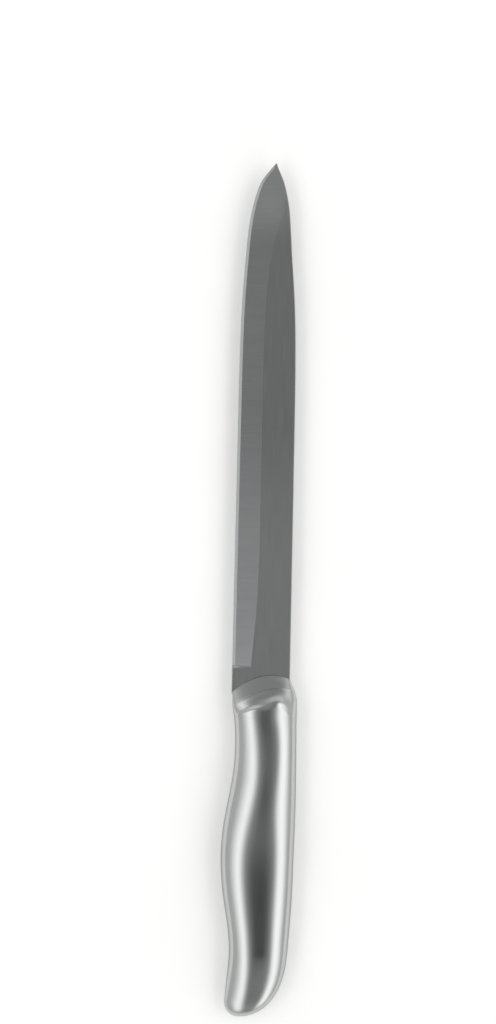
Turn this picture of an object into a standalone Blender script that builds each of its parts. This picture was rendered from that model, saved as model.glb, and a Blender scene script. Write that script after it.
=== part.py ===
"""A fillet knife with a hollow handle: ground blade, cast bolster, two pressed shells and the welds between them.

Lengths are in metres. Along runs forward from the nose of the handle to the tip (+Y), across runs from the
cutting edge to the spine (+X) from the blade's centre line, and up is the knife's left side (+Z).
"""

import math

import bmesh
import bpy
import numpy

# Blade
BLADE_LENGTH = 0.2002
BLADE_WIDTH = 0.0218
BLADE_THICKNESS = 0.0018
SPINE_BREAK = 0.0003
SPINE_BREAK_SLOPE = 0.8
EDGE_THICKNESS = 0.0001
EDGE_BEVEL_WIDTH = 0.0011
EDGE_BEVEL_THICKNESS = 0.0005

# At the narrow point: the most that bevel and spine break take of the width, and how far up the rest the grind runs
POINT_BEVEL = 0.33
POINT_BREAK = 0.16
POINT_GRIND = 0.8

# Distance behind the tip, then edge and spine as shares of half the blade's width
BLADE_OUTLINE = (
    (0.0000, -0.155, 0.178),
    (0.0032, 0.085, 0.296),
    (0.0062, 0.290, 0.415),
    (0.0102, 0.455, 0.525),
    (0.0145, 0.570, 0.612),
    (0.0220, 0.705, 0.692),
    (0.0350, 0.820, 0.775),
    (0.0500, 0.905, 0.885),
    (0.0700, 0.953, 0.960),
    (0.0980, 0.970, 0.984),
    (0.2000, 1.000, 1.000),
)

# Grind: its upper line runs beside the centre line, dips to the edge at the heel and sweeps to the spine
GRIND_OFFSET = -0.0015
GRIND_DIP = 0.0037
GRIND_DIP_LENGTH = 0.060
GRIND_SWEEP_LENGTH = 0.090
GRIND_SWEEP_END = 0.0132
GRIND_SWEEP_POWER = 3.8

# Ricasso: full thickness from the heel to the plunge, where the grind sets in over a short length
PLUNGE = 0.0105
PLUNGE_LENGTH = 0.0014

# Tang, one piece with the blade
HEEL = 0.0010
TANG_LENGTH = 0.038
TANG_WIDTH = 0.012
TANG_OFFSET = 0.0015
TANG_FILLET = 0.0015
TANG_POINT = 0.0020
SHOULDER_SLOPE = 0.0002

# Handle
HANDLE_LENGTH = 0.120
SHELL_WALL = 0.0010

# Distance behind the nose, then belly, spine and half of the thickness, where across the handle is highest, and how
# square its section is towards the belly and towards the spine (2 is an ellipse)
HANDLE_OUTLINE = (
    (0.000, 0.0106, 0.0136, 0.0069, 0.0011, 2.4, 1.9),
    (0.015, 0.0092, 0.0138, 0.0068, 0.0030, 2.2, 2.4),
    (0.030, 0.0099, 0.0140, 0.0072, 0.0029, 2.0, 2.4),
    (0.044, 0.0123, 0.0140, 0.0075, 0.0016, 2.1, 2.4),
    (0.059, 0.0137, 0.0137, 0.0080, 0.0010, 2.5, 2.8),
    (0.078, 0.0120, 0.0132, 0.0078, 0.0013, 2.6, 2.7),
    (0.094, 0.0099, 0.0122, 0.0072, 0.0017, 2.5, 2.6),
    (0.106, 0.0106, 0.0116, 0.0070, 0.0000, 2.0, 2.8),
    (0.120, 0.0117, 0.0116, 0.0078, -0.0008, 1.9, 2.7),
)

# Butt: where it is longest, and the lengths over which spine, belly and thickness round off to it
BUTT_OFFSET = -0.0059
BUTT_SPINE_SWEEP = 0.026
BUTT_SPINE_POWER = 2.5
BUTT_BELLY_CORNER = 0.0060
BUTT_CROWN_SHARE = 0.66
BUTT_ROUNDING = 0.024
BUTT_ROUNDING_POWER = 1.6

# Bolster: ramp from its front line to the crease, then dome to the joint with the shells, then spigot
RAMP_FRONT = 0.00785
RAMP_FRONT_TILT = 0.25
RAMP_FRONT_BOW = 30.0
RAMP_FRONT_HALF = 0.0014
RAMP_FRONT_SQUARENESS = (7.7, 3.3)
CREASE = 0.00245
CREASE_TILT = 0.32
CREASE_BOW = 23.0
CREASE_HALF = 0.00355
CREASE_SQUARENESS = (5.1, 2.4)
JOINT = 0.0075

# Line on which the dome is full: where across, then where along
DOME_LINE = (
    (-0.009, -0.0072),
    (-0.005, -0.0071),
    (-0.001, -0.0053),
    (0.003, -0.0041),
    (0.007, -0.0021),
    (0.011, -0.0044),
)

# How the dome rises: share of the way from the crease to that line, then share of the climb, near the belly and near
# the spine. The two blend between these places across.
DOME_RISE = (
    (0.00, 0.00, 0.00),
    (0.12, 0.10, 0.10),
    (0.27, 0.22, 0.22),
    (0.42, 0.34, 0.37),
    (0.57, 0.52, 0.53),
    (0.72, 0.90, 0.67),
    (0.87, 1.00, 0.86),
    (1.00, 1.00, 1.00),
)
DOME_BELLY_SIDE = -0.010
DOME_SPINE_SIDE = 0.012
DOME_SHAPE_LEAD = 1.25
SPIGOT_LENGTH = 0.008
SPIGOT_CHAMFER = 0.0008

# Place on the neck (0 at the ramp's front line, 1 at the crease, 2 at the joint), then belly and spine
NECK_OUTLINE = (
    (0.0, 0.0106, 0.0109),
    (0.5, 0.0106, 0.0118),
    (1.0, 0.0105, 0.0128),
    (1.2, 0.0104, 0.0134),
    (1.5, 0.0102, 0.0137),
)

# Welds. The seam bead tapers from its foot over a shoulder to its top, both as shares of its depth and half width
SEAM_BEAD_WIDTH = 0.0018
SEAM_BEAD_DEPTH = 0.0006
SEAM_BEAD_SHOULDER = (0.6, 0.8)
SEAM_BEAD_TOP = (1.0, 0.3)
TANG_BEAD_LENGTH = 0.009
TANG_BEAD_LEG = 0.0020
TANG_BEAD_FACE = 0.8

# Clearance between pieces that touch
FIT = 0.0003

# Fineness of the surfaces. Round an oval, the corners lie further apart over the flat crown than at the rims.
AROUND = 46
CROWN_SPREAD = 0.75
HANDLE_STEPS = 36
PLUNGE_STEPS = 4
BLADE_STEPS = 14
POINT_STEPS = 26
FILLET_STEPS = 4
RAMP_STEPS = 4
DOME_STEPS = 14
SPIGOT_STEPS = 3
BEAD_STEPS = 6


def curve_bends(rows, column):
    """How strongly the natural cubic spline through the column's values bends at each row."""
    system = numpy.eye(len(rows))
    turns = numpy.zeros(len(rows))
    for i in range(1, len(rows) - 1):
        before = rows[i][0] - rows[i - 1][0]
        after = rows[i + 1][0] - rows[i][0]
        system[i, i - 1 : i + 2] = before, 2 * (before + after), after
        climb = (rows[i][column] - rows[i - 1][column]) / before
        turns[i] = 6 * ((rows[i + 1][column] - rows[i][column]) / after - climb)
    return numpy.linalg.solve(system, turns)


def on_curve(rows, at, column):
    """The column's value at a distance, on a smooth curve through the rows."""
    if at <= rows[0][0]:
        return rows[0][column]
    if at >= rows[-1][0]:
        return rows[-1][column]
    bends = curve_bends(rows, column)
    i = max(i for i, row in enumerate(rows) if row[0] < at)
    span = rows[i + 1][0] - rows[i][0]
    far = (at - rows[i][0]) / span
    near = 1 - far
    chord = near * rows[i][column] + far * rows[i + 1][column]
    bow = (near**3 - near) * bends[i] + (far**3 - far) * bends[i + 1]
    return float(chord + bow * span**2 / 6)


def rounding(share, power=2.0):
    """From 1 down to 0 as the share goes from 0 to 1, like the quarter of an oval."""
    return math.sqrt(1 - min(max(share, 0.0), 1.0) ** power)


def blend(start, end, share):
    return start + (end - start) * share


def blade_edge(along):
    return -on_curve(BLADE_OUTLINE, BLADE_LENGTH - along, 1) * BLADE_WIDTH / 2


def blade_spine(along):
    return on_curve(BLADE_OUTLINE, BLADE_LENGTH - along, 2) * BLADE_WIDTH / 2


def grind_line(along):
    """How far across the grind meets the flat of the blade."""
    dip = max(GRIND_DIP_LENGTH - along, 0) / GRIND_DIP_LENGTH
    run = GRIND_SWEEP_LENGTH - GRIND_SWEEP_END
    sweep = max(along - BLADE_LENGTH + GRIND_SWEEP_LENGTH, 0) / run
    rise = blade_spine(BLADE_LENGTH - GRIND_SWEEP_END) - GRIND_OFFSET
    return GRIND_OFFSET - GRIND_DIP * dip**2 + rise * sweep**GRIND_SWEEP_POWER


def ground_share(along):
    """How deep the blade is ground: 0 on the ricasso, 1 in front of the plunge."""
    share = min(max((along - PLUNGE) / PLUNGE_LENGTH, 0), 1)
    return share**2 * (3 - 2 * share)


def blade_ring(along, gap=0.0):
    """Section of the blade in front of its heel, from edge to spine and back, grown by the gap."""
    edge = blade_edge(along)
    spine = blade_spine(along)
    width = spine - edge
    full = BLADE_THICKNESS / 2
    ground = ground_share(along)
    bevel = min(EDGE_BEVEL_WIDTH, POINT_BEVEL * width)
    bevel_half = blend(EDGE_THICKNESS, EDGE_BEVEL_THICKNESS, bevel / EDGE_BEVEL_WIDTH) / 2
    slope = (full - EDGE_BEVEL_THICKNESS / 2) / (grind_line(along) - edge - EDGE_BEVEL_WIDTH)
    corner = min(SPINE_BREAK, POINT_BREAK * width)
    drop = SPINE_BREAK_SLOPE * corner
    lip = edge + blend(SPINE_BREAK, bevel, ground)
    top = spine - corner
    crease = min(grind_line(along), blend(lip, top, POINT_GRIND))

    def height(across):
        return blend(full, min(full, bevel_half + slope * (across - edge - bevel)), ground)

    upper = [
        (edge - gap, blend(full - drop, EDGE_THICKNESS / 2, ground) + gap),
        (lip - gap, height(lip) + gap),
        (crease, height(crease) + gap),
        (top + gap, height(top) + gap),
        (spine + gap, height(top) - drop + gap),
    ]
    return mirrored_ring(upper, along)


def tang_ring(along, flare=0.0, gap=0.0):
    """Section of the tang, widened by the flare and grown by the gap. It has as many corners as the blade's."""
    low = TANG_OFFSET - TANG_WIDTH / 2 - flare - gap
    high = TANG_OFFSET + TANG_WIDTH / 2 + flare + gap
    half = BLADE_THICKNESS / 2 + gap
    upper = [
        (low, half / 2),
        (low, half),
        (TANG_OFFSET, half),
        (high - SPINE_BREAK, half),
        (high, half - SPINE_BREAK),
    ]
    return mirrored_ring(upper, along)


def mirrored_ring(upper, along):
    ring = [(x, along, z) for x, z in upper]
    return ring + [(x, along, -z) for x, z in reversed(upper)]


def heel_rings(gap=0.0):
    """Sections from the end of the tang's fillets to the heel of the blade."""
    rings = []
    start = HEEL - SHOULDER_SLOPE - TANG_FILLET
    for i in range(FILLET_STEPS + 1):
        turn = math.pi / 2 * i / FILLET_STEPS
        along = start + TANG_FILLET * math.sin(turn) - gap
        rings.append(tang_ring(along, TANG_FILLET * (1 - math.cos(turn)), gap))
    heel = blade_ring(HEEL, gap)
    rings.append([(x, y - gap, z) for x, y, z in heel])
    return rings


def blade_rings():
    """Sections of the blade from the end of the tang to the tip."""
    rings = [
        tang_ring(-TANG_LENGTH, -TANG_POINT),
        tang_ring(-TANG_LENGTH + TANG_POINT),
        *heel_rings(),
    ]
    ground = PLUNGE + PLUNGE_LENGTH
    rings += [blade_ring(blend(PLUNGE, ground, i / PLUNGE_STEPS)) for i in range(PLUNGE_STEPS)]
    point = BLADE_LENGTH - GRIND_SWEEP_LENGTH
    rings += [blade_ring(blend(ground, point, i / BLADE_STEPS)) for i in range(BLADE_STEPS + 1)]
    for i in range(1, POINT_STEPS + 1):
        turn = math.pi / 2 * i / POINT_STEPS
        rings.append(blade_ring(blend(point, BLADE_LENGTH, math.sin(turn))))
    return rings


def slot_rings():
    """The blade's own heel and tang with the clearance round them, run out past both ends of the bolster."""
    behind = -JOINT - SPIGOT_LENGTH - SPIGOT_CHAMFER
    ahead = RAMP_FRONT + SPIGOT_LENGTH
    return [tang_ring(behind, gap=FIT), *heel_rings(FIT), blade_ring(PLUNGE, FIT), blade_ring(ahead, FIT)]


def handle_sides(behind, inset=0.0):
    """Belly, crown, spine and half of the thickness of the handle's skin at a distance behind the nose."""
    belly, spine, half, crown = (on_curve(HANDLE_OUTLINE, behind, column) for column in range(1, 5))
    left = HANDLE_LENGTH - behind
    corner = rounding(1 - left / BUTT_BELLY_CORNER)
    sweep = rounding(1 - left / BUTT_SPINE_SWEEP, BUTT_SPINE_POWER)
    belly = blend(BUTT_OFFSET, -belly, corner)
    spine = blend(BUTT_OFFSET, spine, sweep)
    crown = blend(BUTT_OFFSET, crown, blend(corner, sweep, BUTT_CROWN_SHARE))
    half *= rounding(1 - left / BUTT_ROUNDING, BUTT_ROUNDING_POWER)
    return belly + inset, crown, spine - inset, half - inset


def handle_squareness(behind):
    return on_curve(HANDLE_OUTLINE, behind, 5), on_curve(HANDLE_OUTLINE, behind, 6)


def inset_along(behind, inset):
    """Where a point of the skin lies along the knife once the skin is set in, also at the butt."""
    length = HANDLE_LENGTH - JOINT
    return -JOINT - (behind - JOINT) * (length - inset) / length


def oval(sides, squareness, place, height=None):
    """Closed section between belly and spine. The place tells how far along a point lies, from how far across, and
    the squareness gives the powers towards belly and spine there."""
    belly, crown, spine, half = sides
    ring = []
    for i in range(AROUND):
        turn = 2 * math.pi * i / AROUND
        reach = abs(math.cos(turn)) ** CROWN_SPREAD
        to_spine = math.cos(turn) > 0
        across = blend(crown, spine if to_spine else belly, reach)
        power = squareness(across)[to_spine]
        full = half if height is None else height(across)
        up = full * max(1 - reach**power, 0) ** (1 / power)
        ring.append((across, place(across), math.copysign(up, math.sin(turn))))
    return ring


def handle_ring(behind, inset=0.0):
    along = inset_along(behind, inset)
    powers = handle_squareness(behind)
    return oval(handle_sides(behind, inset), lambda across: powers, lambda across: along)


def handle_stations():
    """Distances behind the nose where the shells have a section, closer together at the butt."""
    start = JOINT + FIT
    turns = [math.pi / 2 * i / HANDLE_STEPS for i in range(HANDLE_STEPS)]
    return [blend(start, HANDLE_LENGTH, math.sin(turn)) for turn in turns]


def hollow_stations():
    """The stations where the inside of the handle is high enough to hold the seam bead."""
    least = SHELL_WALL + FIT + SEAM_BEAD_WIDTH / 2 + SEAM_BEAD_DEPTH
    return [at for at in handle_stations() if handle_sides(at)[3] > least]


def front_line(across):
    return RAMP_FRONT + RAMP_FRONT_TILT * across - RAMP_FRONT_BOW * across**2


def crease_line(across):
    return CREASE + CREASE_TILT * across - CREASE_BOW * across**2


def neck_sides(place, half):
    """Belly, crown and spine of the neck, which run on into the handle's at the joint, with the given half height."""
    belly, crown, spine, _ = handle_sides(JOINT)
    rows = (*NECK_OUTLINE, (2.0, -belly, spine))
    return -on_curve(rows, place, 1), crown, on_curve(rows, place, 2), half


def ramp_ring(share):
    """Section of the bolster's ramp, from its front line (0) to the crease (1)."""
    powers = [blend(*powers, share) for powers in zip(RAMP_FRONT_SQUARENESS, CREASE_SQUARENESS)]
    return oval(
        neck_sides(share, blend(RAMP_FRONT_HALF, CREASE_HALF, share)),
        lambda across: powers,
        lambda across: blend(front_line(across), crease_line(across), share),
    )


def dome_ring(share):
    """Section of the bolster's dome, from the crease (0) to the joint with the shells (1)."""
    _, _, _, half = handle_sides(JOINT)

    def place(across):
        return blend(crease_line(across), -JOINT, share)

    def way(across):
        crease = crease_line(across)
        return min((crease - place(across)) / (crease - on_curve(DOME_LINE, across, 1)), 1)

    def height(across):
        belly_rise, spine_rise = (on_curve(DOME_RISE, way(across), column) for column in (1, 2))
        side = (across - DOME_BELLY_SIDE) / (DOME_SPINE_SIDE - DOME_BELLY_SIDE)
        return blend(CREASE_HALF, half, blend(belly_rise, spine_rise, min(max(side, 0), 1)))

    def squareness(across):
        lead = min(DOME_SHAPE_LEAD * way(across), 1)
        return [blend(*powers, lead) for powers in zip(CREASE_SQUARENESS, handle_squareness(JOINT))]

    return oval(neck_sides(1 + share, half), squareness, place, height)


def bolster_rings():
    rings = [ramp_ring(i / RAMP_STEPS) for i in range(RAMP_STEPS + 1)]
    rings += [dome_ring(i / DOME_STEPS) for i in range(1, DOME_STEPS + 1)]
    seat = SHELL_WALL + FIT
    for i in range(SPIGOT_STEPS + 1):
        rings.append(handle_ring(JOINT + SPIGOT_LENGTH * i / SPIGOT_STEPS, seat))
    end = JOINT + SPIGOT_LENGTH + SPIGOT_CHAMFER
    rings.append(handle_ring(end, seat + SPIGOT_CHAMFER))
    return rings


def add_ring(mesh, ring):
    return [mesh.verts.new(point) for point in ring]


def skin_rings(mesh, rings):
    """Faces between each ring of corners and the next."""
    for ring, after in zip(rings, rings[1:]):
        for i in range(len(ring)):
            j = (i + 1) % len(ring)
            mesh.faces.new((ring[i], ring[j], after[j], after[i]))


def close_bent_end(mesh, ring):
    """Closes the end of an oval that isn't flat with faces from its upper to its lower side."""
    for i in range(len(ring) // 2):
        corners = [ring[i], ring[i + 1], ring[-i - 1], ring[-i]]
        mesh.faces.new(list(dict.fromkeys(corners)))


def loft(rings, bent_start=False):
    """A closed solid through the rings, each a list of points."""
    mesh = bmesh.new()
    corners = [add_ring(mesh, ring) for ring in rings]
    skin_rings(mesh, corners)
    if bent_start:
        close_bent_end(mesh, corners[0])
    else:
        mesh.faces.new(corners[0])
    mesh.faces.new(corners[-1])
    return mesh


def steel(name, colour, roughness):
    material = bpy.data.materials.new(name)
    material.use_nodes = True
    surface = material.node_tree.nodes["Principled BSDF"]
    surface.inputs["Base Color"].default_value = (*colour, 1)
    surface.inputs["Metallic"].default_value = 1.0
    surface.inputs["Roughness"].default_value = roughness
    return material


def weld_steel(name):
    return steel(name, (0.46, 0.45, 0.44), 0.5)


def add_piece(name, mesh, material, parent, sharp=30):
    """Makes the object of one piece. Edges that turn by more than the sharp angle stay crisp."""
    bmesh.ops.recalc_face_normals(mesh, faces=mesh.faces)
    data = bpy.data.meshes.new(name)
    mesh.to_mesh(data)
    mesh.free()
    data.shade_smooth()
    data.set_sharp_from_angle(angle=math.radians(sharp))
    data.materials.append(material)
    piece = bpy.data.objects.new(name, data)
    piece.parent = parent
    bpy.context.scene.collection.objects.link(piece)
    return piece


def make_blade(parent):
    """Ground blank with its tang. The grind turns by only a few degrees, so its lines stay crisp."""
    finish = steel("ground blade steel", (0.42, 0.43, 0.43), 0.34)
    return add_piece("blade", loft(blade_rings()), finish, parent, sharp=3)


def make_bolster(parent):
    """Cast neck with a slot through it that fits the blade's heel and tang."""
    finish = steel("satin bolster steel", (0.62, 0.63, 0.63), 0.28)
    bolster = add_piece("bolster", loft(bolster_rings(), bent_start=True), finish, parent)
    slot = add_piece("slot_cutter", loft(slot_rings()), finish, parent)
    slot.hide_render = True
    slot.display_type = "WIRE"
    cut = bolster.modifiers.new("slot for the tang", "BOOLEAN")
    cut.operation = "DIFFERENCE"
    cut.object = slot
    return bolster


def make_shell(name, side, parent):
    """Half of the hollow handle on one side of the seam: the whole handle, cut beside its middle plane."""
    mesh = bmesh.new()
    outside = [add_ring(mesh, handle_ring(at)) for at in handle_stations()]
    inside = [add_ring(mesh, handle_ring(at, SHELL_WALL)) for at in hollow_stations()]
    skin_rings(mesh, outside)
    skin_rings(mesh, inside)
    skin_rings(mesh, [outside[0], inside[0]])
    mesh.faces.new(outside[-1])
    mesh.faces.new(inside[-1])
    cut = bmesh.ops.bisect_plane(
        mesh,
        geom=mesh.verts[:] + mesh.edges[:] + mesh.faces[:],
        plane_co=(0, 0, side * FIT / 2),
        plane_no=(0, 0, side),
        clear_inner=True,
    )
    rim = [part for part in cut["geom_cut"] if isinstance(part, bmesh.types.BMEdge)]
    bmesh.ops.edgenet_fill(mesh, edges=rim)
    finish = steel(name.replace("_", " ") + " steel", (0.64, 0.65, 0.65), 0.28)
    return add_piece(name, mesh, finish, parent)


def make_seam_weld(parent):
    """Root bead along the inside of the seam: back along the spine, round the butt and forward at the belly."""
    foot = SEAM_BEAD_WIDTH / 2
    profile = [(0, 0), (0, foot / 2), (0, foot)]
    profile += [(SEAM_BEAD_DEPTH * deep, foot * wide) for deep, wide in (SEAM_BEAD_SHOULDER, SEAM_BEAD_TOP)]
    profile += [(deep, -up) for deep, up in reversed(profile[1:])]
    start = JOINT + SPIGOT_LENGTH + SPIGOT_CHAMFER + FIT
    stations = [at for at in hollow_stations() if at > start]

    def bead_ring(at, to_spine):
        power = handle_squareness(at)[to_spine]
        ring = []
        for deep, up in profile:
            inset = SHELL_WALL + FIT + deep
            belly, crown, spine, half = handle_sides(at, inset)
            reach = (1 - (abs(up) / half) ** power) ** (1 / power)
            ring.append((blend(crown, spine if to_spine else belly, reach), inset_along(at, inset), up))
        return ring

    back = [bead_ring(at, True) for at in stations]
    forth = [bead_ring(at, False) for at in reversed(stations)]
    return add_piece("seam_weld", loft(back + forth), weld_steel("seam weld steel"), parent)


def make_tang_weld(name, side, parent):
    """Fillet bead in the corner between the tang's flat and the rear face of the bolster."""
    low = TANG_OFFSET - TANG_BEAD_LENGTH / 2
    corner_along = -JOINT - SPIGOT_LENGTH - SPIGOT_CHAMFER - FIT
    corner_up = BLADE_THICKNESS / 2 + FIT
    profile = [(0.0, 0.0)]
    for i in range(BEAD_STEPS + 1):
        turn = math.pi / 2 * i / BEAD_STEPS
        full = TANG_BEAD_LEG * blend(TANG_BEAD_FACE, 1, abs(math.cos(2 * turn)))
        profile.append((full * math.cos(turn), full * math.sin(turn)))
    rings = [
        [(across, corner_along - back, side * (corner_up + up)) for back, up in profile]
        for across in (low, low + TANG_BEAD_LENGTH)
    ]
    return add_piece(name, loft(rings), weld_steel(name.replace("_", " ") + " steel"), parent)


def add_knife_frame():
    """Empty that carries the pieces, so that the knife lies on its side with its box's foot at the origin."""
    stations = handle_stations()
    sides = [handle_sides(at) for at in stations]
    low = min(belly for belly, _, _, _ in sides)
    high = max(spine for _, _, spine, _ in sides)
    half = max(half for _, _, _, half in sides)
    frame = bpy.data.objects.new("knife_frame", None)
    frame.location = (-(low + high) / 2, (stations[-1] - BLADE_LENGTH) / 2, half)
    bpy.context.scene.collection.objects.link(frame)
    return frame


def main():
    for old in list(bpy.data.objects):
        bpy.data.objects.remove(old)
    frame = add_knife_frame()
    make_blade(frame)
    make_bolster(frame)
    make_shell("handle_shell_left", 1, frame)
    make_shell("handle_shell_right", -1, frame)
    make_seam_weld(frame)
    make_tang_weld("tang_weld_left", 1, frame)
    make_tang_weld("tang_weld_right", -1, frame)


main()
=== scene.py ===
"""A fillet knife in stainless steel, lying on its side.

It has a ground blade, a cast bolster and a hollow handle of two pressed shells. The pieces are drawn in the
knife's own directions. Along runs forward from the nose of the handle to the tip (+Y), across runs from the
cutting edge to the spine (+X) from the blade's centre line, and up is the left side (+Z). Lengths are in
metres.
"""

import math

import bmesh
import bpy
import numpy
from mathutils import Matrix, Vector


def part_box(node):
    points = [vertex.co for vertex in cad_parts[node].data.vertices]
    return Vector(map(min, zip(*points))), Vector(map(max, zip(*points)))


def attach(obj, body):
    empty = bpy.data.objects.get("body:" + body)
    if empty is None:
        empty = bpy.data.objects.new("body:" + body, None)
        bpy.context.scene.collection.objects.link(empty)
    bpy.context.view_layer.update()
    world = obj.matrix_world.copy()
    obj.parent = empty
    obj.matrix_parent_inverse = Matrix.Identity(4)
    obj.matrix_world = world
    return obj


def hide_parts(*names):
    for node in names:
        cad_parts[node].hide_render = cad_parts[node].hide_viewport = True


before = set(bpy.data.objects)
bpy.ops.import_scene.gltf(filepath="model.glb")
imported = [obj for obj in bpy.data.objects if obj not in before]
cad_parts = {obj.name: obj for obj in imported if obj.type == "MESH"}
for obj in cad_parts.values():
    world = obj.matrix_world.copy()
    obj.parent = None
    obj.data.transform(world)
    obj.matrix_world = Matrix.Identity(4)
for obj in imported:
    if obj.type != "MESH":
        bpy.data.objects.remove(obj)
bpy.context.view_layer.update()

MM = 0.001
MICRON = 0.000001

# Blade
BLADE_LENGTH = 0.2002
BLADE_WIDTH = 0.0218
BLADE_THICKNESS = 0.0018
SPINE_BREAK = 0.00025
SPINE_BREAK_SLOPE = 0.8
EDGE_THICKNESS = 0.00004
EDGE_BEVEL_WIDTH = 0.0011
EDGE_BEVEL_THICKNESS = 0.0005

# At the narrow point: the most that bevel and spine break take of the width, and how far up the rest of it
# the grind runs
POINT_BEVEL = 0.33
POINT_BREAK = 0.16
POINT_GRIND = 0.8

# Distance behind the tip, then edge and spine as shares of half the blade's width
BLADE_OUTLINE = (
    (0.0000, -0.155, 0.178),
    (0.0032, 0.085, 0.296),
    (0.0062, 0.290, 0.415),
    (0.0102, 0.455, 0.525),
    (0.0145, 0.570, 0.612),
    (0.0220, 0.705, 0.692),
    (0.0350, 0.820, 0.775),
    (0.0500, 0.905, 0.885),
    (0.0700, 0.953, 0.960),
    (0.0980, 0.970, 0.984),
    (0.2000, 1.000, 1.000),
)

# Grind: its upper line runs beside the centre line, dips to the edge at the heel and sweeps to the spine
GRIND_OFFSET = -0.0015
GRIND_DIP = 0.0037
GRIND_DIP_LENGTH = 0.060
GRIND_SWEEP_LENGTH = 0.090
GRIND_SWEEP_END = 0.0132
GRIND_SWEEP_POWER = 3.8

# Ricasso: full thickness from the heel to the plunge, where the grind sets in over a short length
PLUNGE = 0.0105
PLUNGE_LENGTH = 0.0014

# Tang, one piece with the blade
HEEL = 0.0010
TANG_LENGTH = 0.038
TANG_WIDTH = 0.012
TANG_OFFSET = 0.0015
TANG_FILLET = 0.0015
TANG_POINT = 0.0020
SHOULDER_SLOPE = 0.0002

# Handle
SHELL_WALL = 0.0010

# Distance behind the nose, then belly, spine and half of the thickness, where across the handle is highest,
# and how square its section is towards the belly and towards the spine (2 is an ellipse)
HANDLE_OUTLINE = (
    (0.000, 0.0106, 0.0136, 0.0069, 0.0011, 2.4, 1.9),
    (0.015, 0.0092, 0.0138, 0.0068, 0.0030, 2.2, 2.4),
    (0.030, 0.0099, 0.0140, 0.0072, 0.0029, 2.0, 2.4),
    (0.044, 0.0123, 0.0140, 0.0075, 0.0016, 2.1, 2.4),
    (0.059, 0.0137, 0.0137, 0.0080, 0.0010, 2.5, 2.8),
    (0.078, 0.0120, 0.0132, 0.0078, 0.0013, 2.6, 2.7),
    (0.094, 0.0099, 0.0122, 0.0072, 0.0017, 2.5, 2.6),
    (0.106, 0.0106, 0.0116, 0.0070, 0.0000, 2.0, 2.8),
    (0.120, 0.0117, 0.0116, 0.0078, -0.0008, 1.9, 2.7),
)

# Columns of that outline
BELLY, SPINE, HALF, CROWN, BELLY_POWER, SPINE_POWER = range(1, 7)

# Butt: where it is longest, and the lengths over which spine, belly and thickness round off to it
BUTT_OFFSET = -0.0059
BUTT_SPINE_SWEEP = 0.026
BUTT_SPINE_POWER = 2.5
BUTT_BELLY_CORNER = 0.0060
BUTT_CROWN_SHARE = 0.66
BUTT_ROUNDING = 0.024
BUTT_ROUNDING_POWER = 1.6

# Bolster: ramp from its front line to the crease, then dome to the joint with the shells, then spigot. Both
# lines are given where they cross the blade's centre line, in front of the nose. The joint lies behind it.
RAMP_FRONT = 0.00785
RAMP_FRONT_TILT = 0.25
RAMP_FRONT_BOW = 30.0
RAMP_FRONT_HALF = 0.0015
RAMP_FRONT_FACE = 0.0002
RAMP_FRONT_SQUARENESS = (7.6, 3.0)
CREASE = 0.00245
CREASE_TILT = 0.32
CREASE_BOW = 23.0
CREASE_HALF = 0.0037
CREASE_SQUARENESS = (5.0, 2.2)
CREASE_WIDTH = 0.0003
CREASE_DEPTH = 0.00002
JOINT = 0.0075

# Both lines on the bolster, the groove and the painted shade on it and on the front face, fade out at the
# sides: where across they set in, are full, start to fade and are gone
LINES_SHOW = (-0.0075, -0.0040, 0.0060, 0.0095)

# Line on which the dome is full: where across, then where along
DOME_LINE = (
    (-0.009, -0.0075),
    (-0.005, -0.0060),
    (-0.001, -0.0050),
    (0.003, -0.0045),
    (0.007, -0.0035),
    (0.011, -0.0069),
)

# How the dome rises: share of the way from the crease to that line, then share of the climb, near the belly
# and near the spine. The last row mirrors the one at 0.87, so that the dome ends level.
DOME_RISE = (
    (0.00, 0.00, 0.00),
    (0.12, 0.10, 0.12),
    (0.27, 0.22, 0.28),
    (0.42, 0.35, 0.46),
    (0.57, 0.49, 0.68),
    (0.72, 0.67, 0.87),
    (0.87, 0.94, 0.95),
    (1.00, 1.00, 1.00),
    (1.13, 0.94, 0.95),
)
DOME_BELLY_SIDE = -0.0062
DOME_SPINE_SIDE = 0.0084
DOME_SHAPE_LEAD = 1.75
SPIGOT_LENGTH = 0.008
SPIGOT_CHAMFER = 0.0008

# Place on the neck (0 at the ramp's front line, 1 at the crease, 2 at the joint), then belly and spine
NECK_OUTLINE = (
    (0.0, 0.0106, 0.0109),
    (0.5, 0.0106, 0.0118),
    (1.0, 0.0105, 0.0128),
    (1.2, 0.0104, 0.0134),
    (1.5, 0.0102, 0.0137),
)

# Hairline between pieces that are welded and ground flush, and the play of the spigot in the shells
HAIRLINE = 0.00002
FIT = 0.0003

# The skin lies this much inside the solids' own, so that the finer mesh stays within their box
SKIN_INSET = 0.00002

# Painted shade: the front half of the blade is coloured a shade darker: where that sets in, is full, starts
# to fade and is gone
PAINTED_SHADE_ALONG = (0.045, 0.110, 0.168, 0.185)

# Edges that turn by more than this many degrees stay crisp, on the blade and on the other pieces
BLADE_CRISP_ANGLE = 3.2
CRISP_ANGLE = 30

# Fineness of the surfaces
AROUND = 144
HANDLE_STEPS = 240
FILLET_STEPS = 8
RICASSO_STEPS = 6
PLUNGE_STEPS = 24
BLADE_STEPS = 60
POINT_STEPS = 150
FACE_STEPS = 4
RAMP_STEPS = 14
DOME_STEPS = 44
SPIGOT_STEPS = 3


# The knife's own zero point in the frame, read from the solids
blade_low, blade_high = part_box("blade")
ORIGIN = Vector((
    blade_low.x + BLADE_WIDTH / 2,
    blade_high.y - BLADE_LENGTH,
    (blade_low.z + blade_high.z) / 2,
))
HANDLE_LENGTH = ORIGIN.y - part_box("handle_shell_left")[0].y


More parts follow.
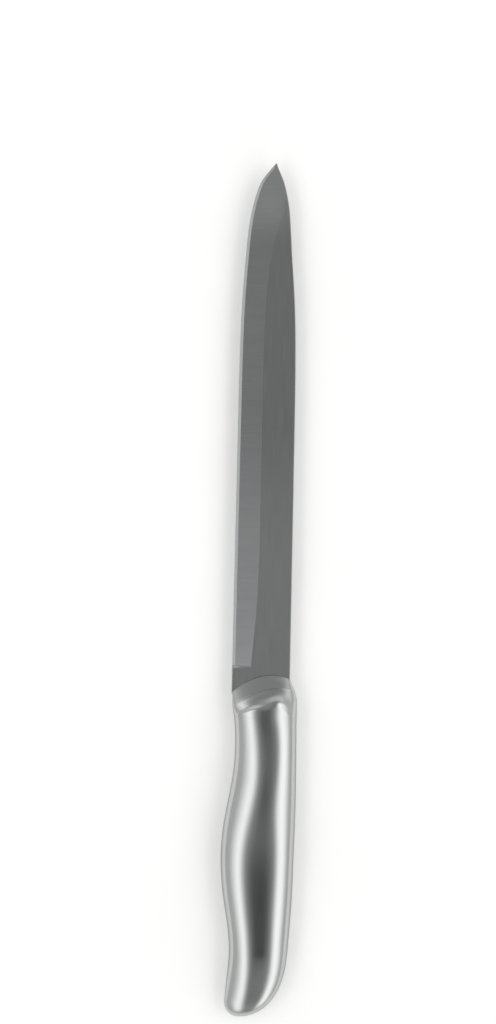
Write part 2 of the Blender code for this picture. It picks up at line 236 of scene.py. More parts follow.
def curve_bends(rows, column):
    """How strongly the natural cubic spline through the column's values bends at each row."""
    system = numpy.eye(len(rows))
    turns = numpy.zeros(len(rows))
    for i in range(1, len(rows) - 1):
        before = rows[i][0] - rows[i - 1][0]
        after = rows[i + 1][0] - rows[i][0]
        system[i, i - 1 : i + 2] = before, 2 * (before + after), after
        climb = (rows[i][column] - rows[i - 1][column]) / before
        turns[i] = 6 * ((rows[i + 1][column] - rows[i][column]) / after - climb)
    return numpy.linalg.solve(system, turns)


def on_curve(rows, at, column):
    """The column's value at a distance, on a smooth curve through the rows."""
    if at <= rows[0][0]:
        return rows[0][column]
    if at >= rows[-1][0]:
        return rows[-1][column]
    bends = curve_bends(rows, column)
    i = max(i for i, row in enumerate(rows) if row[0] < at)
    span = rows[i + 1][0] - rows[i][0]
    far = (at - rows[i][0]) / span
    near = 1 - far
    chord = near * rows[i][column] + far * rows[i + 1][column]
    bow = (near**3 - near) * bends[i] + (far**3 - far) * bends[i + 1]
    return float(chord + bow * span**2 / 6)


def rounding(share, power=2.0):
    """From 1 down to 0 as the share goes from 0 to 1, like the quarter of an oval."""
    return math.sqrt(1 - min(max(share, 0.0), 1.0) ** power)


def smooth_share(share):
    """From 0 to 1 with soft ends."""
    share = min(max(share, 0.0), 1.0)
    return share**2 * (3 - 2 * share)


def blend(start, end, share):
    return start + (end - start) * share


def blade_edge(along):
    return -on_curve(BLADE_OUTLINE, BLADE_LENGTH - along, 1) * BLADE_WIDTH / 2


def blade_spine(along):
    return on_curve(BLADE_OUTLINE, BLADE_LENGTH - along, 2) * BLADE_WIDTH / 2


def grind_line(along):
    """How far across the grind meets the flat of the blade."""
    dip = max(GRIND_DIP_LENGTH - along, 0) / GRIND_DIP_LENGTH
    run = GRIND_SWEEP_LENGTH - GRIND_SWEEP_END
    sweep = max(along - BLADE_LENGTH + GRIND_SWEEP_LENGTH, 0) / run
    rise = blade_spine(BLADE_LENGTH - GRIND_SWEEP_END) - GRIND_OFFSET
    return GRIND_OFFSET - GRIND_DIP * dip**2 + rise * sweep**GRIND_SWEEP_POWER


def ground_share(along):
    """How deep the blade is ground: 0 on the ricasso, 1 in front of the plunge."""
    return smooth_share((along - PLUNGE) / PLUNGE_LENGTH)


def blade_section(along):
    """Corners of the blade's upper half from edge to spine: edge, bevel, grind line, spine break, spine."""
    edge = blade_edge(along)
    spine = blade_spine(along)
    width = spine - edge
    full = BLADE_THICKNESS / 2
    ground = ground_share(along)
    bevel = min(EDGE_BEVEL_WIDTH, POINT_BEVEL * width)
    bevel_half = blend(EDGE_THICKNESS, EDGE_BEVEL_THICKNESS, bevel / EDGE_BEVEL_WIDTH) / 2
    slope = (full - EDGE_BEVEL_THICKNESS / 2) / (grind_line(along) - edge - EDGE_BEVEL_WIDTH)
    corner = min(SPINE_BREAK, POINT_BREAK * width)
    drop = SPINE_BREAK_SLOPE * corner
    lip = edge + blend(SPINE_BREAK, bevel, ground)
    top = spine - corner
    crease = min(grind_line(along), blend(lip, top, POINT_GRIND))

    def height(across):
        return blend(full, min(full, bevel_half + slope * (across - edge - bevel)), ground)

    return [
        (edge, blend(full - drop, EDGE_THICKNESS / 2, ground)),
        (lip, height(lip)),
        (crease, height(crease)),
        (top, height(top)),
        (spine, height(top) - drop),
    ]


def blade_half(across, along):
    """Half of the blade's thickness at a place on it."""
    corners = blade_section(along)
    return float(numpy.interp(across, *zip(*corners)))


def blade_ring(along, gap=0.0):
    """The blade's section with its grind and flat divided, from edge to spine and back."""
    edge, lip, crease, top, spine = blade_section(along)
    upper = [(edge[0] - gap, edge[1] + gap)]
    for start, end in ((lip, crease), (crease, top)):
        for i in range(FACE_STEPS):
            share = i / FACE_STEPS
            upper.append((blend(start[0], end[0], share), blend(start[1], end[1], share) + gap))
    upper += [(top[0] + gap, top[1] + gap), (spine[0] + gap, spine[1] + gap)]
    return mirrored_ring(upper, along)


def tang_ring(along, flare=0.0, gap=0.0):
    """Section of the tang, widened on each side by the flare, with as many corners as the blade's."""
    low = TANG_OFFSET - TANG_WIDTH / 2 - flare - gap
    high = TANG_OFFSET + TANG_WIDTH / 2 + flare + gap
    half = BLADE_THICKNESS / 2 + gap
    flat = 2 * FACE_STEPS
    upper = [(low, half / 2)]
    upper += [(blend(low, high - SPINE_BREAK, i / flat), half) for i in range(flat + 1)]
    upper.append((high, half - SPINE_BREAK))
    return mirrored_ring(upper, along)


def mirrored_ring(upper, along):
    ring = [(x, along, z) for x, z in upper]
    return ring + [(x, along, -z) for x, z in reversed(upper)]


def heel_rings(gap=0.0):
    """Sections from the end of the tang's fillets to the heel of the blade."""
    start = HEEL - SHOULDER_SLOPE - TANG_FILLET
    rings = []
    for i in range(FILLET_STEPS + 1):
        turn = math.pi / 2 * i / FILLET_STEPS
        along = start + TANG_FILLET * math.sin(turn) - gap
        rings.append(tang_ring(along, TANG_FILLET * (1 - math.cos(turn)), gap))
    rings.append([(x, y - gap, z) for x, y, z in blade_ring(HEEL, gap)])
    return rings


def blade_rings():
    """Sections of the blade from the end of the tang to the tip."""
    rings = [
        tang_ring(-TANG_LENGTH, -TANG_POINT),
        tang_ring(-TANG_LENGTH + TANG_POINT),
        *heel_rings(),
    ]
    ground = PLUNGE + PLUNGE_LENGTH
    point = BLADE_LENGTH - GRIND_SWEEP_LENGTH
    stretches = (
        (HEEL, PLUNGE, RICASSO_STEPS),
        (PLUNGE, ground, PLUNGE_STEPS),
        (ground, point, BLADE_STEPS),
    )
    for start, end, steps in stretches:
        rings += [blade_ring(blend(start, end, i / steps)) for i in range(1, steps + 1)]
    for i in range(1, POINT_STEPS + 1):
        turn = math.pi / 2 * i / POINT_STEPS
        rings.append(blade_ring(blend(point, BLADE_LENGTH, math.sin(turn))))
    return rings


def slot_rings():
    """The blade's heel and tang with a hairline round them, run out past both ends of the bolster."""
    behind = -JOINT - SPIGOT_LENGTH - 2 * SPIGOT_CHAMFER
    return [tang_ring(behind, gap=HAIRLINE), *heel_rings(HAIRLINE), blade_ring(PLUNGE, HAIRLINE)]


def handle_sides(behind, inset=0.0):
    """Belly, crown, spine and half of the thickness of the handle's skin at a distance behind the nose."""
    columns = (BELLY, SPINE, HALF, CROWN)
    belly, spine, half, crown = (on_curve(HANDLE_OUTLINE, behind, column) for column in columns)
    left = HANDLE_LENGTH - behind
    corner = rounding(1 - left / BUTT_BELLY_CORNER)
    sweep = rounding(1 - left / BUTT_SPINE_SWEEP, BUTT_SPINE_POWER)
    belly = blend(BUTT_OFFSET, -belly, corner)
    spine = blend(BUTT_OFFSET, spine, sweep)
    crown = blend(BUTT_OFFSET, crown, blend(corner, sweep, BUTT_CROWN_SHARE))
    half *= rounding(1 - left / BUTT_ROUNDING, BUTT_ROUNDING_POWER)
    return belly + inset, crown, spine - inset, half - inset


def handle_squareness(behind):
    return [on_curve(HANDLE_OUTLINE, behind, column) for column in (BELLY_POWER, SPINE_POWER)]


def inset_along(behind, inset):
    """Where a point of the skin lies along the knife once the skin is set in, also at the butt."""
    length = HANDLE_LENGTH - JOINT
    return -JOINT - (behind - JOINT) * (length - inset) / length


def oval(sides, squareness, place, height=None):
    """Closed section between belly and spine.

    From how far across a point lies, the place tells how far along it lies, the squareness gives the powers
    towards belly and spine, and the height, where there is one, how high the section reaches.
    """
    belly, crown, spine, half = sides
    ring = []
    for i in range(AROUND):
        turn = 2 * math.pi * i / AROUND
        reach = abs(math.cos(turn))
        to_spine = math.cos(turn) > 0
        across = blend(crown, spine if to_spine else belly, reach)
        power = squareness(across)[to_spine]
        full = half if height is None else height(across)
        up = full * max(1 - reach**power, 0) ** (1 / power)
        ring.append((across, place(across), math.copysign(up, math.sin(turn))))
    return ring


def handle_ring(behind, inset=0.0):
    along = inset_along(behind, inset)
    powers = handle_squareness(behind)
    return oval(handle_sides(behind, inset), lambda across: powers, lambda across: along)


def handle_stations():
    """Distances behind the nose where the shells have a section, closer together at the butt."""
    start = JOINT + HAIRLINE
    turns = [math.pi / 2 * i / HANDLE_STEPS for i in range(HANDLE_STEPS)]
    return [blend(start, HANDLE_LENGTH, math.sin(turn)) for turn in turns]


def hollow_stations():
    """Every other station where the inside of the handle is high enough to be pressed."""
    return [at for at in handle_stations()[::2] if handle_sides(at)[-1] > 2 * SHELL_WALL]


def line_share(across):
    """How much of the lines on the bolster is left at a place across."""
    return float(numpy.interp(across, LINES_SHOW, (0, 1, 1, 0)))


def front_line(across):
    return RAMP_FRONT + RAMP_FRONT_TILT * across - RAMP_FRONT_BOW * across**2


def crease_line(across):
    return CREASE + CREASE_TILT * across - CREASE_BOW * across**2


def neck_sides(place, half):
    """Belly, crown, spine and given half height of the neck, which runs on into the handle at the joint."""
    belly, crown, spine, _ = handle_sides(JOINT)
    rows = (*NECK_OUTLINE, (2.0, -belly, spine))
    return -on_curve(rows, place, 1), crown, on_curve(rows, place, 2), half


def front_ring():
    """Foot of the bolster's front face, close on the blade."""
    return oval(
        neck_sides(0, RAMP_FRONT_HALF),
        lambda across: RAMP_FRONT_SQUARENESS,
        front_line,
        lambda across: blade_half(across, front_line(across)) + HAIRLINE,
    )


def ramp_ring(share):
    """Section of the bolster's ramp, from the top of its front face (0) to the crease (1)."""
    powers = [blend(*powers, share) for powers in zip(RAMP_FRONT_SQUARENESS, CREASE_SQUARENESS)]
    return oval(
        neck_sides(share, blend(RAMP_FRONT_HALF, CREASE_HALF, share)),
        lambda across: powers,
        lambda across: blend(front_line(across) - RAMP_FRONT_FACE, crease_line(across), share),
    )


def dome_ring(share, sink=0.0):
    """Section of the bolster's dome, from the crease (0) to the joint with the shells (1)."""
    _, _, _, half = handle_sides(JOINT)

    def place(across):
        return blend(crease_line(across), -JOINT, share)

    def way(across):
        crease = crease_line(across)
        return min((crease - place(across)) / (crease - on_curve(DOME_LINE, across, 1)), 1)

    def height(across):
        belly_rise, spine_rise = (on_curve(DOME_RISE, way(across), column) for column in (1, 2))
        side = smooth_share((across - DOME_BELLY_SIDE) / (DOME_SPINE_SIDE - DOME_BELLY_SIDE))
        return blend(CREASE_HALF, half, blend(belly_rise, spine_rise, side)) - sink * line_share(across)

    def squareness(across):
        lead = 1 - (1 - way(across)) ** DOME_SHAPE_LEAD
        return [blend(*powers, lead) for powers in zip(CREASE_SQUARENESS, handle_squareness(JOINT))]

    return oval(neck_sides(1 + share, half), squareness, place, height)


def bolster_rings():
    """Sections of the bolster from the foot of its front face to the end of its spigot."""
    rings = [front_ring()]
    rings += [ramp_ring(i / RAMP_STEPS) for i in range(RAMP_STEPS + 1)]
    line = CREASE_WIDTH / (CREASE + JOINT)
    rings += [dome_ring(line / 2, CREASE_DEPTH), dome_ring(line)]
    shares = [i / DOME_STEPS for i in range(DOME_STEPS + 1)]
    rings += [dome_ring(share) for share in shares if share > line]
    seat = SHELL_WALL + FIT
    for i in range(SPIGOT_STEPS + 1):
        rings.append(handle_ring(JOINT + SPIGOT_LENGTH * i / SPIGOT_STEPS, seat))
    end = JOINT + SPIGOT_LENGTH + SPIGOT_CHAMFER
    rings.append(handle_ring(end, seat + SPIGOT_CHAMFER))
    return rings


def add_ring(mesh, ring):
    return [mesh.verts.new(ORIGIN + Vector(point)) for point in ring]


def skin_rings(mesh, rings):
    """Faces between each ring of corners and the next."""
    for ring, after in zip(rings, rings[1:]):
        for i in range(len(ring)):
            j = (i + 1) % len(ring)
            mesh.faces.new((ring[i], ring[j], after[j], after[i]))


def close_bent_end(mesh, ring):
    """Closes the end of an oval that isn't flat with faces from its upper to its lower side."""
    for i in range(len(ring) // 2):
        corners = [ring[i], ring[i + 1], ring[-i - 1], ring[-i]]
        mesh.faces.new(list(dict.fromkeys(corners)))


def loft(rings, bent_start=False):
    """A closed solid through the rings, each a list of points."""
    mesh = bmesh.new()
    corners = [add_ring(mesh, ring) for ring in rings]
    skin_rings(mesh, corners)
    if bent_start:
        close_bent_end(mesh, corners[0])
    else:
        mesh.faces.new(corners[0])
    mesh.faces.new(corners[-1])
    return mesh


def add_piece(name, mesh, finishes, sharp=CRISP_ANGLE):
    """Makes the object of one piece. Edges that turn by more than the sharp angle stay crisp."""
    bmesh.ops.recalc_face_normals(mesh, faces=mesh.faces)
    data = bpy.data.meshes.new(name)
    mesh.to_mesh(data)
    mesh.free()
    data.shade_smooth()
    data.set_sharp_from_angle(angle=math.radians(sharp))
    for finish in finishes:
        data.materials.append(finish)
    piece = bpy.data.objects.new(name, data)
    bpy.context.scene.collection.objects.link(piece)
    return piece


def stand_for(piece, node):
    """Puts a finished piece in the place of its solid, on the knife's one body."""
    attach(piece, "root")
    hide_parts(node)


def linear(hex_colour):
    """Linear colour of an sRGB hex value."""
    parts = [int(hex_colour[i : i + 2], 16) / 255 for i in (1, 3, 5)]
    return [p / 12.92 if p <= 0.04045 else ((p + 0.055) / 1.055) ** 2.4 for p in parts] + [1.0]


def add_node(tree, kind, settings=None, inputs=None):
    """Adds a node with its settings, and with inputs that are plain values or other nodes' outputs."""
    node = tree.nodes.new(kind)
    for name, value in (settings or {}).items():
        setattr(node, name, value)
    for name, value in (inputs or {}).items():
        if isinstance(value, bpy.types.NodeSocket):
            tree.links.new(value, node.inputs[name])
        else:
            node.inputs[name].default_value = value
    return node


# Sockets of a mix node: the share, two colours or two plain levels, and the mixed colour
SHARE = 0
COLOUR_UNDER, COLOUR_OVER = 6, 7
LEVEL_UNDER, LEVEL_OVER = 2, 3
MIXED_COLOUR = 2

# Between these two values the noise has its usual swing
NOISE_SWING = (0.3, 0.7)

# One mark of each finish in millimetres across, along and up. Real scratches are some hundredths of a
# millimetre wide, which the picture can't show, so they are drawn as wide as it needs.
BELT_STREAK = (0.35, 28.0, 0.35)
BELT_CLOUD = (9.0, 22.0, 9.0)
FLAT_GRAIN = (0.30, 14.0, 0.30)
STONE_LINE = (12.0, 0.30, 12.0)
HONING_LINE = (3.0, 0.40, 3.0)
SHADE_LINE_SPECK = (0.5, 0.5, 0.5)
WELD_STAIN = (4.0, 6.0, 4.0)
WELD_RIPPLE = (6.0, 0.7, 6.0)
LAMINATE_CLOUD = (60.0, 60.0, 60.0)
CLOUD_SHIFT = 5.0

# Height of such marks in thousandths of a millimetre
BELT_HEIGHT = 0.8
FLAT_HEIGHT = 1.5
STONE_HEIGHT = 2.0
RIPPLE_HEIGHT = 60.0


def new_finish(name):
    """A material with a bare shader, and its node tree."""
    material = bpy.data.materials.new(name)
    material.use_nodes = True
    tree = material.node_tree
    tree.nodes.clear()
    shader = add_node(tree, "ShaderNodeBsdfPrincipled", inputs={"Metallic": 1.0})
    add_node(tree, "ShaderNodeOutputMaterial", inputs={"Surface": shader.outputs["BSDF"]})
    return material, tree, shader


def noise_over(tree, size, detail=3.0, shift=0.0):
    """Noise in the piece's own space. The size is that of one mark in millimetres across, along and up."""
    place = add_node(tree, "ShaderNodeTexCoord").outputs["Object"]
    scale = [1 / (length * MM) for length in size]
    spread = add_node(
        tree,
        "ShaderNodeMapping",
        inputs={"Vector": place, "Scale": scale, "Location": (shift, shift, shift)},
    )
    noise = add_node(
        tree,
        "ShaderNodeTexNoise",
        inputs={"Vector": spread.outputs["Vector"], "Scale": 1.0, "Detail": detail, "Roughness": 0.6},
    )
    return noise.outputs["Fac"]


def ranged(tree, value, low, high):
    """The noise's usual swing, spread from low to high."""
    start, end = NOISE_SWING
    spread = add_node(
        tree,
        "ShaderNodeMapRange",
        inputs={"Value": value, "From Min": start, "From Max": end, "To Min": low, "To Max": high},
    )
    return spread.outputs["Result"]


def tinted(tree, value, dark, light):
    """Colour between two hex values, by the noise's usual swing."""
    mix = add_node(
        tree,
        "ShaderNodeMix",
        {"data_type": "RGBA"},
        {SHARE: ranged(tree, value, 0.0, 1.0), COLOUR_UNDER: linear(dark), COLOUR_OVER: linear(light)},
    )
    return mix.outputs[MIXED_COLOUR]


def brush_marks(tree, shader, marks, height):
    """Marks as relief. Their height is in thousandths of a millimetre."""
    bump = add_node(
        tree,
        "ShaderNodeBump",
        inputs={"Strength": 1.0, "Distance": height * MICRON, "Height": marks},
    )
    tree.links.new(bump.outputs["Normal"], shader.inputs["Normal"])


def across_the_grain(tree, shader, grain, amount):
    """Spreads reflections square to the grain of the brushing, as fine parallel scratches do."""
    normal = add_node(tree, "ShaderNodeNewGeometry").outputs["Normal"]
    side = add_node(
        tree,
        "ShaderNodeVectorMath",
        {"operation": "CROSS_PRODUCT"},
        {0: normal, 1: grain},
    )
    tree.links.new(side.outputs["Vector"], shader.inputs["Tangent"])
    shader.inputs["Anisotropic"].default_value = amount


def faded(tree, value, start, end):
    """Soft edge: from 0 at the start to 1 at the end."""
    edge = add_node(
        tree,
        "ShaderNodeMapRange",
        {"interpolation_type": "SMOOTHSTEP"},
        {"Value": value, "From Min": start, "From Max": end},
    )
    return edge.outputs["Result"]


def soft_window(tree, value, start, full, fading, end):
    """From 0 to 1 and back to 0 along the value."""
    ends = {0: faded(tree, value, start, full), 1: faded(tree, value, end, fading)}
    return add_node(tree, "ShaderNodeMath", {"operation": "MULTIPLY"}, ends).outputs[0]


def painted_shade_in_front(tree, colour, shade):
    """The colour, times a painted shade along the front half of the blade."""
    place = add_node(tree, "ShaderNodeTexCoord").outputs["Object"]
    along = add_node(tree, "ShaderNodeSeparateXYZ", inputs={"Vector": place}).outputs["Y"]
    share = soft_window(tree, along, *(ORIGIN.y + y for y in PAINTED_SHADE_ALONG))
    mix = add_node(
        tree,
        "ShaderNodeMix",
        {"data_type": "RGBA", "blend_type": "MULTIPLY"},
        {SHARE: share, COLOUR_UNDER: colour, COLOUR_OVER: linear(shade)},
    )
    return mix.outputs[MIXED_COLOUR]


def make_handle_finish():
    """Pressed 18/8 stainless sheet, brushed lengthwise on a fine belt.

    That leaves soft long streaks in a bright satin skin, and dulls its shine a little where it turns away.
    """
    material, tree, shader = new_finish("lengthwise_satin_stainless")
    streaks = noise_over(tree, BELT_STREAK)
    clouds = noise_over(tree, BELT_CLOUD, detail=2.0, shift=CLOUD_SHIFT)
    both = add_node(tree, "ShaderNodeMath", {"operation": "ADD"}, {0: streaks, 1: clouds})
    even = add_node(tree, "ShaderNodeMath", {"operation": "MULTIPLY"}, {0: both.outputs[0], 1: 0.5})
    tree.links.new(ranged(tree, even.outputs[0], 0.175, 0.205), shader.inputs["Roughness"])
    tree.links.new(tinted(tree, streaks, "#C2C4C3", "#C7C9C8"), shader.inputs["Base Color"])
    brush_marks(tree, shader, streaks, BELT_HEIGHT)
    across_the_grain(tree, shader, (0.0, 1.0, 0.0), 0.3)
    shader.inputs["Specular Tint"].default_value = linear("#BCBCBC")
    return material


def make_flat_finish():
    """Hardened chromium steel strip with a matt satin flat: mid grey with a faint lengthwise grain, and
    painted shade in front.
    """
    material, tree, shader = new_finish("matt_satin_blade_steel")
    grain = noise_over(tree, FLAT_GRAIN)
    tree.links.new(ranged(tree, grain, 0.29, 0.33), shader.inputs["Roughness"])
    # The colour carries a painted shade along the front half of the blade.
    colour = painted_shade_in_front(tree, tinted(tree, grain, "#B6B9B8", "#BCBEBE"), "#E5E5E5")
    tree.links.new(colour, shader.inputs["Base Color"])
    brush_marks(tree, shader, grain, FLAT_HEIGHT)
    return material


def make_grind_finish():
    """The same strip ground square to the edge on a wet stone: a shade lighter, with fine cross lines, and
    painted shade in front.
    """
    material, tree, shader = new_finish("cross_ground_blade_steel")
    lines = noise_over(tree, STONE_LINE)
    tree.links.new(ranged(tree, lines, 0.29, 0.33), shader.inputs["Roughness"])
    # The colour carries a painted shade along the front half of the blade.
    colour = painted_shade_in_front(tree, tinted(tree, lines, "#B4B8B8", "#BCC0BF"), "#DBDBDB")
    tree.links.new(colour, shader.inputs["Base Color"])
    brush_marks(tree, shader, lines, STONE_HEIGHT)
    return material


def make_edge_finish():
    """Cutting edge honed on a fine stone: a narrow smooth line with hardly any marks."""
    material, tree, shader = new_finish("honed_edge_steel")
    lines = noise_over(tree, HONING_LINE)
    tree.links.new(ranged(tree, lines, 0.30, 0.36), shader.inputs["Roughness"])
    tree.links.new(tinted(tree, lines, "#A0A4A3", "#AAAEAD"), shader.inputs["Base Color"])
    return material


def make_crease_shade_finish():
    """Painted shade in the bolster's front step and crease: a dark line with faded ends."""
    material, tree, shader = new_finish("painted_crease_shade")
    specks = noise_over(tree, SHADE_LINE_SPECK)
    tree.links.new(ranged(tree, specks, 0.36, 0.44), shader.inputs["Roughness"])
    place = add_node(tree, "ShaderNodeTexCoord").outputs["Object"]
    across = add_node(tree, "ShaderNodeSeparateXYZ", inputs={"Vector": place}).outputs["X"]
    # The dark colour is painted shade, full in the middle and gone towards the sides.
    left = soft_window(tree, across, *(ORIGIN.x + x for x in LINES_SHOW))
    line_shade = tinted(tree, specks, "#868888", "#929494")
    mix = add_node(
        tree,
        "ShaderNodeMix",
        {"data_type": "RGBA"},
        {SHARE: left, COLOUR_UNDER: linear("#C4C6C5"), COLOUR_OVER: line_shade},
    )
    tree.links.new(mix.outputs[MIXED_COLOUR], shader.inputs["Base Color"])
    return material


def make_weld_finish():
    """Weld bead as it cooled: dull grey with a straw tint and fine ripples across the run."""
    material, tree, shader = new_finish("as_welded_stainless")
    stain = noise_over(tree, WELD_STAIN, detail=2.0)
    ripples = noise_over(tree, WELD_RIPPLE, detail=1.0)
    tree.links.new(ranged(tree, stain, 0.42, 0.56), shader.inputs["Roughness"])
    tree.links.new(tinted(tree, stain, "#8A857B", "#A9A7A3"), shader.inputs["Base Color"])
    brush_marks(tree, shader, ripples, RIPPLE_HEIGHT)
    return material


HANDLE_FINISH = make_handle_finish()
FLAT_FINISH = make_flat_finish()
GRIND_FINISH = make_grind_finish()
EDGE_FINISH = make_edge_finish()
CREASE_SHADE_FINISH = make_crease_shade_finish()
WELD_FINISH = make_weld_finish()


def make_blade():
    """Ground blank with its tang. Each band of its section has the finish that its own grinding left."""
    finishes = [FLAT_FINISH, GRIND_FINISH, EDGE_FINISH]
    piece = add_piece("ground_blade", loft(blade_rings()), finishes, sharp=BLADE_CRISP_ANGLE)
    bands = 2 * (2 * FACE_STEPS + 3)
    unground = (len(heel_rings()) + 1 + RICASSO_STEPS) * bands
    for index, face in enumerate(piece.data.polygons[unground:-2]):
        from_edge = min(index % bands, bands - 2 - index % bands)
        if from_edge <= 0:
            face.material_index = finishes.index(EDGE_FINISH)
        elif from_edge <= FACE_STEPS:
            face.material_index = finishes.index(GRIND_FINISH)
    stand_for(piece, "blade")


def make_bolster():
    """Cast neck, dressed with the handle. Its slot is cut out of the full form and follows the blade."""
    finishes = [HANDLE_FINISH, CREASE_SHADE_FINISH]
    bolster = add_piece("cast_bolster", loft(bolster_rings(), bent_start=True), finishes)
    front_face = 0
    groove = RAMP_STEPS + 1
    # The front face and the groove rows take the painted shade of the step and the crease.
    for row in (front_face, groove, groove + 1):
        for face in bolster.data.polygons[row * AROUND : (row + 1) * AROUND]:
            face.material_index = finishes.index(CREASE_SHADE_FINISH)
    slot = add_piece("slot_cutter", loft(slot_rings()), [HANDLE_FINISH])
    cut = bolster.modifiers.new("slot for blade and tang", "BOOLEAN")
    cut.operation = "DIFFERENCE"
    cut.object = slot
    bpy.context.view_layer.update()
    formed = bolster.evaluated_get(bpy.context.evaluated_depsgraph_get())
    data = bpy.data.meshes.new_from_object(formed)
    bolster.modifiers.clear()
    bolster.data = data
    data.set_sharp_from_angle(angle=math.radians(CRISP_ANGLE))
    bpy.data.objects.remove(slot)
    stand_for(bolster, "bolster")


def make_shell(name, side, node):
    """Half of the hollow handle on one side of the seam: the whole handle, cut beside its middle plane."""
    mesh = bmesh.new()
    outside = [add_ring(mesh, handle_ring(at, SKIN_INSET)) for at in handle_stations()]
    inside = [add_ring(mesh, handle_ring(at, SHELL_WALL)) for at in hollow_stations()]
    skin_rings(mesh, outside)
    skin_rings(mesh, inside)
    skin_rings(mesh, [outside[0], inside[0]])
    mesh.faces.new(outside[-1])
    mesh.faces.new(inside[-1])
    cut = bmesh.ops.bisect_plane(
        mesh,
        geom=mesh.verts[:] + mesh.edges[:] + mesh.faces[:],
        plane_co=ORIGIN + Vector((0, 0, side * HAIRLINE / 2)),
        plane_no=(0, 0, side),
        clear_inner=True,
    )
    rim = [part for part in cut["geom_cut"] if isinstance(part, bmesh.types.BMEdge)]
    bmesh.ops.edgenet_fill(mesh, edges=rim)
    stand_for(add_piece(name, mesh, [HANDLE_FINISH]), node)


def dress_welds():
    """The three inner welds keep their solids and take the look of a weld."""
    for name in ("seam_weld", "tang_weld_left", "tang_weld_right"):
        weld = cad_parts[name]
        weld.data.materials.clear()
        weld.data.materials.append(WELD_FINISH)


make_blade()
make_bolster()
make_shell("pressed_shell_left", 1, "handle_shell_left")
make_shell("pressed_shell_right", -1, "handle_shell_right")
dress_welds()


# Camera: where it looks, its turn in radians, its lens and sensor in millimetres, and the picture's scale
VIEW_CENTRE = (-0.006294, 0.029100)
VIEW_TURN = 0.0210
LENS = 120.0
SENSOR = 36.0
PIXELS_PER_METRE = 2667.0
PICTURE_HEIGHT = 1024

# Tabletop, and what lifts it to white where it is seen
TABLE_RADIUS = 9.0
TABLE_CORNERS = 96
TABLE_LIFT = 0.13

# Soft light above, bright enough with the room that a matt colour shows as it is written
OVERHEAD_SIZE = 1.2
OVERHEAD_HEIGHT = 1.0
OVERHEAD_LEVEL = 0.65

# Brightness of the walls beside the knife, and how far to the side they set in and are full
WALLS = 0.62
WALLS_START = (0.62, 0.80)

# Brightness of the opening overhead by cosine from its middle, which leans back by some degrees
OPENING_TILT = 9.7
OPENING = (
    (0.00, 0.64),
    (0.22, 0.88),
    (0.40, 0.64),
    (0.55, 0.27),
    (0.70, 0.34),
    (0.906, 0.23),
    (0.974, 0.26),
    (0.99, 0.14),
    (0.9985, 0.03),
    (1.00, 0.01),
)

# Long soft lights on both sides: brightness, then where each sets in, is full, starts to fade and is gone,
# in degrees from overhead towards the spine, and last the same along the knife towards the point
STRIP_LEVEL = 1.65
BELLY_STRIP = (-64, -27, -28, -12)
SPINE_STRIP = (13.5, 31, 38, 75)
STRIP_LENGTH = (-74, -48, 15.7, 38.7)


def make_floor():
    """Smooth white laminate tabletop, lifted to white where it is seen or mirrored. Its shadows stay."""
    material = bpy.data.materials.new("white_laminate")
    material.use_nodes = True
    tree = material.node_tree
    tree.nodes.clear()
    clouds = noise_over(tree, LAMINATE_CLOUD, detail=2.0)
    paint = add_node(
        tree,
        "ShaderNodeBsdfDiffuse",
        inputs={"Color": tinted(tree, clouds, "#F2F2F1", "#F5F5F4")},
    )
    ray = add_node(tree, "ShaderNodeLightPath").outputs
    direct = add_node(
        tree,
        "ShaderNodeMath",
        {"operation": "MAXIMUM"},
        {0: ray["Is Camera Ray"], 1: ray["Is Glossy Ray"]},
    )
    shown = add_node(
        tree,
        "ShaderNodeMath",
        {"operation": "MAXIMUM"},
        {0: direct.outputs[0], 1: ray["Is Transmission Ray"]},
    )
    lift = add_node(
        tree,
        "ShaderNodeMath",
        {"operation": "MULTIPLY"},
        {0: shown.outputs[0], 1: TABLE_LIFT},
    )
    glow = add_node(tree, "ShaderNodeEmission", inputs={"Strength": lift.outputs[0]})
    both = add_node(tree, "ShaderNodeAddShader", inputs={0: paint.outputs[0], 1: glow.outputs[0]})
    add_node(tree, "ShaderNodeOutputMaterial", inputs={"Surface": both.outputs[0]})
    bpy.ops.mesh.primitive_circle_add(vertices=TABLE_CORNERS, radius=TABLE_RADIUS, fill_type="NGON")
    floor = bpy.context.object
    floor.name = "tabletop"
    floor.data.materials.append(material)


def opening_light(tree, way):
    """Brightness of the room overhead, by how far a direction lies from the middle of its opening."""
    tilt = math.radians(OPENING_TILT)
    toward = add_node(
        tree,
        "ShaderNodeVectorMath",
        {"operation": "DOT_PRODUCT"},
        {0: way, 1: (0.0, -math.sin(tilt), math.cos(tilt))},
    )
    ramp = add_node(tree, "ShaderNodeValToRGB", inputs={"Fac": toward.outputs["Value"]})
    band = ramp.color_ramp
    for element, (position, level) in zip(band.elements, (OPENING[0], OPENING[-1])):
        element.position = position
        element.color = (level, level, level, 1)
    for position, level in OPENING[1:-1]:
        band.elements.new(position).color = (level, level, level, 1)
    return ramp.outputs["Color"]


def strip_share(tree, parts):
    """How much of the two long lights shows in a direction."""
    lean = add_node(tree, "ShaderNodeMath", {"operation": "ARCTAN2"}, {0: parts["X"], 1: parts["Z"]})
    ahead = add_node(tree, "ShaderNodeMath", {"operation": "ARCSINE"}, {0: parts["Y"]})
    belly = soft_window(tree, lean.outputs[0], *map(math.radians, BELLY_STRIP))
    spine = soft_window(tree, lean.outputs[0], *map(math.radians, SPINE_STRIP))
    length = soft_window(tree, ahead.outputs[0], *map(math.radians, STRIP_LENGTH))
    either = add_node(tree, "ShaderNodeMath", {"operation": "MAXIMUM"}, {0: belly, 1: spine})
    share = add_node(
        tree,
        "ShaderNodeMath",
        {"operation": "MULTIPLY"},
        {0: either.outputs[0], 1: length},
    )
    return share.outputs[0]


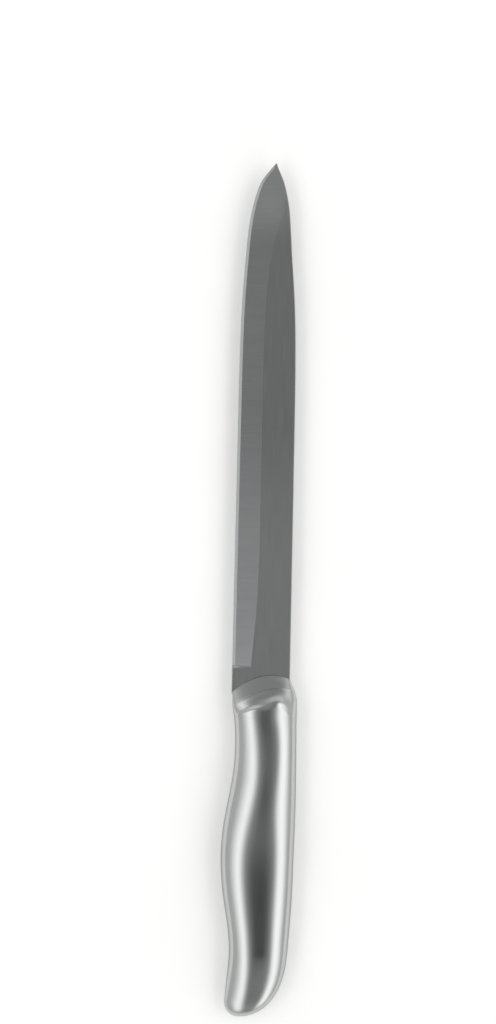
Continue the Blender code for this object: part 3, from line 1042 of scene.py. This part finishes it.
def make_room():
    """Pale room with a dark opening overhead, and a long soft light on each side of the knife."""
    world = bpy.data.worlds.new("studio_room")
    bpy.context.scene.world = world
    world.use_nodes = True
    tree = world.node_tree
    tree.nodes.clear()
    way = add_node(tree, "ShaderNodeTexCoord").outputs["Generated"]
    parts = add_node(tree, "ShaderNodeSeparateXYZ", inputs={"Vector": way}).outputs
    beside = add_node(tree, "ShaderNodeMath", {"operation": "ABSOLUTE"}, {0: parts["X"]})
    walls = faded(tree, beside.outputs[0], *WALLS_START)
    room = add_node(
        tree,
        "ShaderNodeMix",
        inputs={SHARE: walls, LEVEL_UNDER: opening_light(tree, way), LEVEL_OVER: WALLS},
    )
    lit = add_node(
        tree,
        "ShaderNodeMix",
        inputs={SHARE: strip_share(tree, parts), LEVEL_UNDER: room.outputs[0], LEVEL_OVER: STRIP_LEVEL},
    )
    sky = add_node(tree, "ShaderNodeBackground", inputs={"Color": lit.outputs[0], "Strength": 1.0})
    add_node(tree, "ShaderNodeOutputWorld", inputs={"Surface": sky.outputs[0]})


def make_overhead():
    """Wide soft light above. With the room it shows a matt colour at about the level that is written."""
    light = bpy.data.lights.new("overhead", "AREA")
    light.shape = "SQUARE"
    light.size = OVERHEAD_SIZE
    light.energy = OVERHEAD_LEVEL * math.pi * OVERHEAD_SIZE**2
    lamp = bpy.data.objects.new("overhead", light)
    lamp.location = (0.0, 0.0, OVERHEAD_HEIGHT)
    lamp.visible_camera = False
    lamp.visible_glossy = False
    bpy.context.scene.collection.objects.link(lamp)


def make_camera():
    """Long lens straight above the knife, turned a little, as the knife leans in the picture."""
    camera = bpy.data.cameras.new("camera")
    camera.lens = LENS
    camera.sensor_width = SENSOR
    distance = PICTURE_HEIGHT / PIXELS_PER_METRE * LENS / SENSOR
    eye = bpy.data.objects.new("camera", camera)
    eye.location = (*VIEW_CENTRE, ORIGIN.z + distance)
    eye.rotation_euler = (0.0, 0.0, VIEW_TURN)
    bpy.context.scene.collection.objects.link(eye)
    bpy.context.scene.camera = eye


make_floor()
make_room()
make_overhead()
make_camera()
bpy.context.scene.view_settings.view_transform = "Standard"
